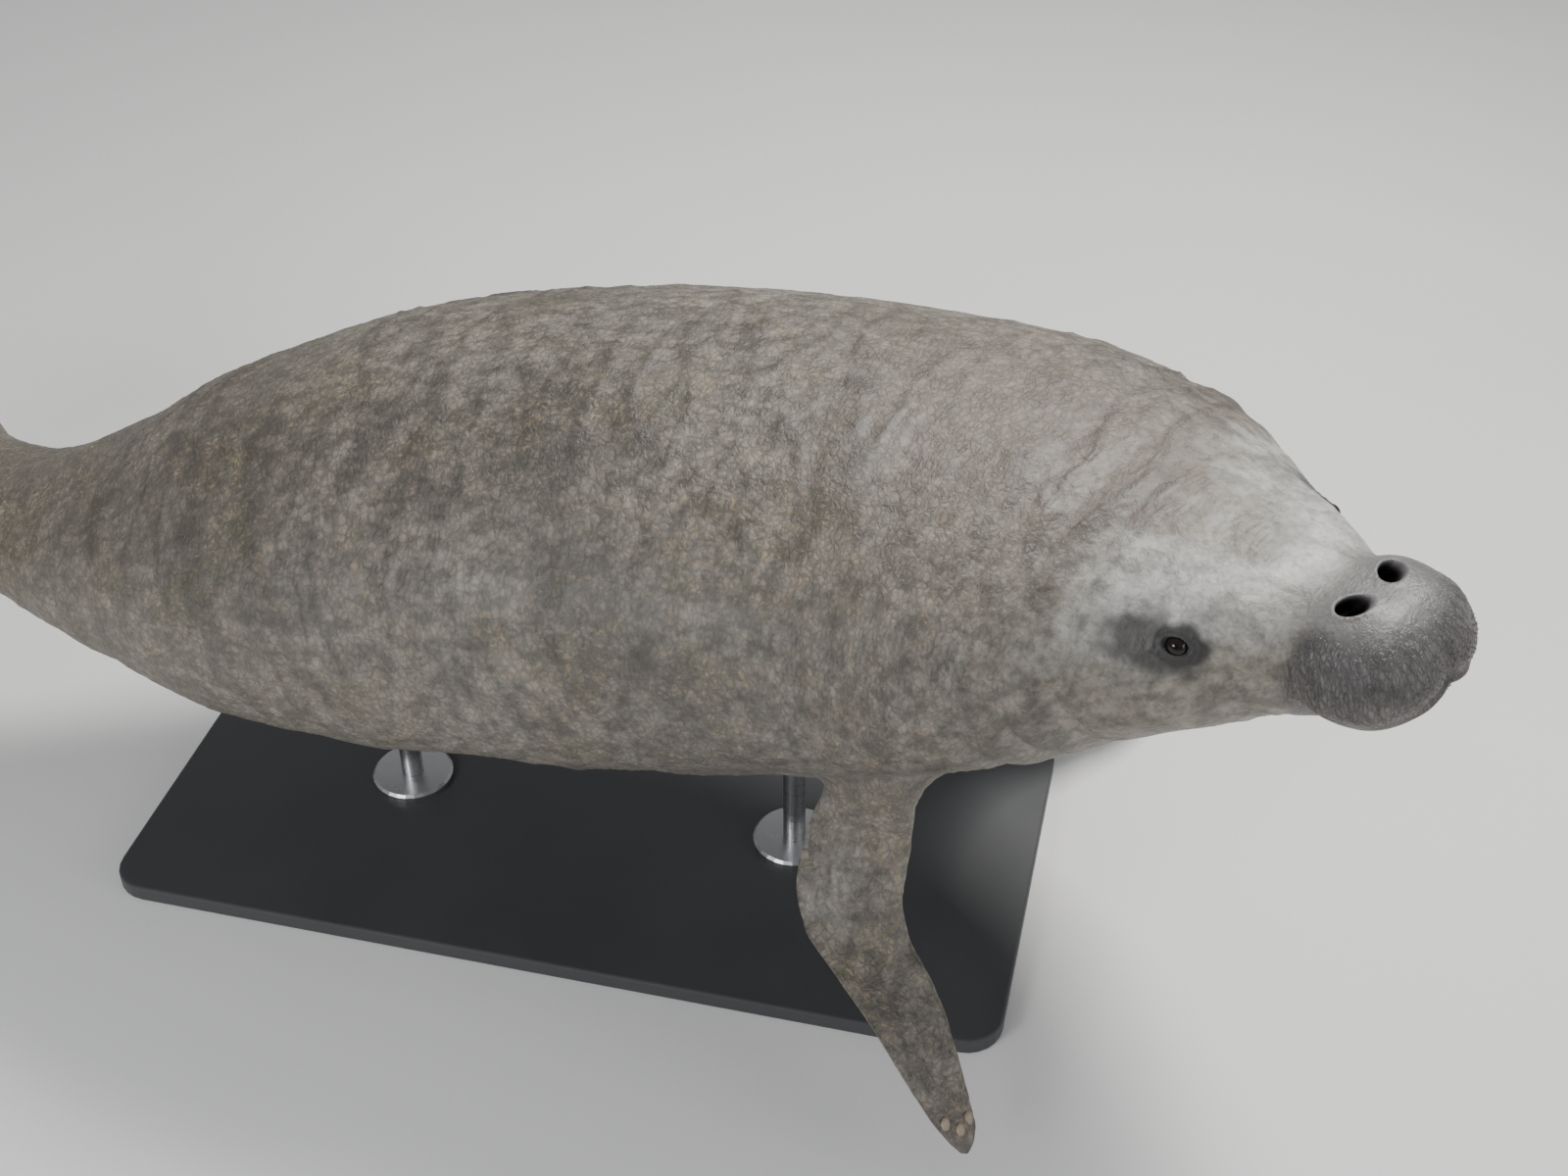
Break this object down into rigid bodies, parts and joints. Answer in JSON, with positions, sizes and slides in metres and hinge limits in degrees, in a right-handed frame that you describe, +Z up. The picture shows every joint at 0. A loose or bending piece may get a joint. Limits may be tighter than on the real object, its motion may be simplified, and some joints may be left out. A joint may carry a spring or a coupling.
{
  "type": "manatee",
  "caption": "Life-size West Indian manatee, swimming nose up with flippers hanging and a broad round tail, held on two short rods over a flat display base.",
  "frame": {"origin": "on the floor, under the middle of the whole model seen from above", "axes": "+X from the tail towards the head along the body, +Y to the animal's left, +Z up"},
  "size_m": [3.0592, 1.132, 0.9955],
  "materials": {
    "skin": "thick wrinkled grey-brown hide, mottled with olive and tan algae film, damp sheen",
    "muzzle_skin": "smooth slate grey hide, pinkish grey and pitted with bristle roots at the lips, wet sheen",
    "eye": "wet dark eye",
    "nail": "dull worn nail",
    "stand_base": "dark satin powder coat",
    "stand_steel": "brushed steel"
  },
  "bodies": {
    "root": {"muzzle": "muzzle_skin", "lower_jaw": "muzzle_skin", "head": "skin", "neck": "skin", "shoulders": "skin", "midriff": "skin", "hindquarters": "skin", "tail_stock": "skin", "tail_paddle": "skin", "flipper_left_arm": "skin", "flipper_left_hand": "skin", "flipper_right_arm": "skin", "flipper_right_hand": "skin", "flipper_left_nail_1": "nail", "flipper_left_nail_2": "nail", "flipper_left_nail_3": "nail", "flipper_right_nail_1": "nail", "flipper_right_nail_2": "nail", "flipper_right_nail_3": "nail", "eye_left": "eye", "eye_right": "eye", "stand_base": "stand_base", "stand_foot_front": "stand_steel", "stand_foot_rear": "stand_steel", "stand_rod_front": "stand_steel", "stand_rod_rear": "stand_steel"}
  },
  "joints": []
}
